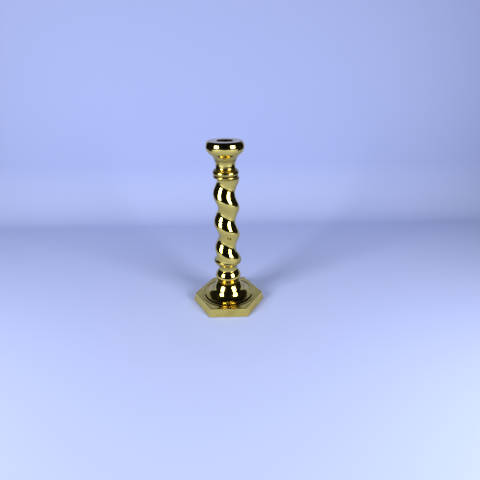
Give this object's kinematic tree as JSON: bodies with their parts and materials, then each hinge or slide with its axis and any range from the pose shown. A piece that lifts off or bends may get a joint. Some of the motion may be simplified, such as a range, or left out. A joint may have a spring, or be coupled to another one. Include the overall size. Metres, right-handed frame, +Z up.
{
  "type": "candle holder",
  "caption": "Table candle holder in polished brass: barley-twist stem between turned collars, on a hexagonal foot with a bell-shaped dome, under a flared socket cup.",
  "frame": {"origin": "on the stem's axis, at the underside of the felt pad", "axes": "+Z up the stem, out of the candle socket; the foot's corners lie on +X and -X, and one flat side faces -Y"},
  "size_m": [0.1074, 0.093, 0.237],
  "materials": {
    "polished_brass": "polished",
    "zinc_plated_steel": "satin zinc plate",
    "green_felt": "matt wool felt"
  },
  "bodies": {
    "root": {"hex_foot": "polished_brass", "knop": "polished_brass", "lower_collar": "polished_brass", "twisted_stem": "polished_brass", "upper_collar": "polished_brass", "candle_cup": "polished_brass", "tie_rod": "zinc_plated_steel", "rod_washer": "zinc_plated_steel", "lock_washer": "zinc_plated_steel", "rod_nut": "zinc_plated_steel", "felt_pad": "green_felt"}
  },
  "joints": []
}
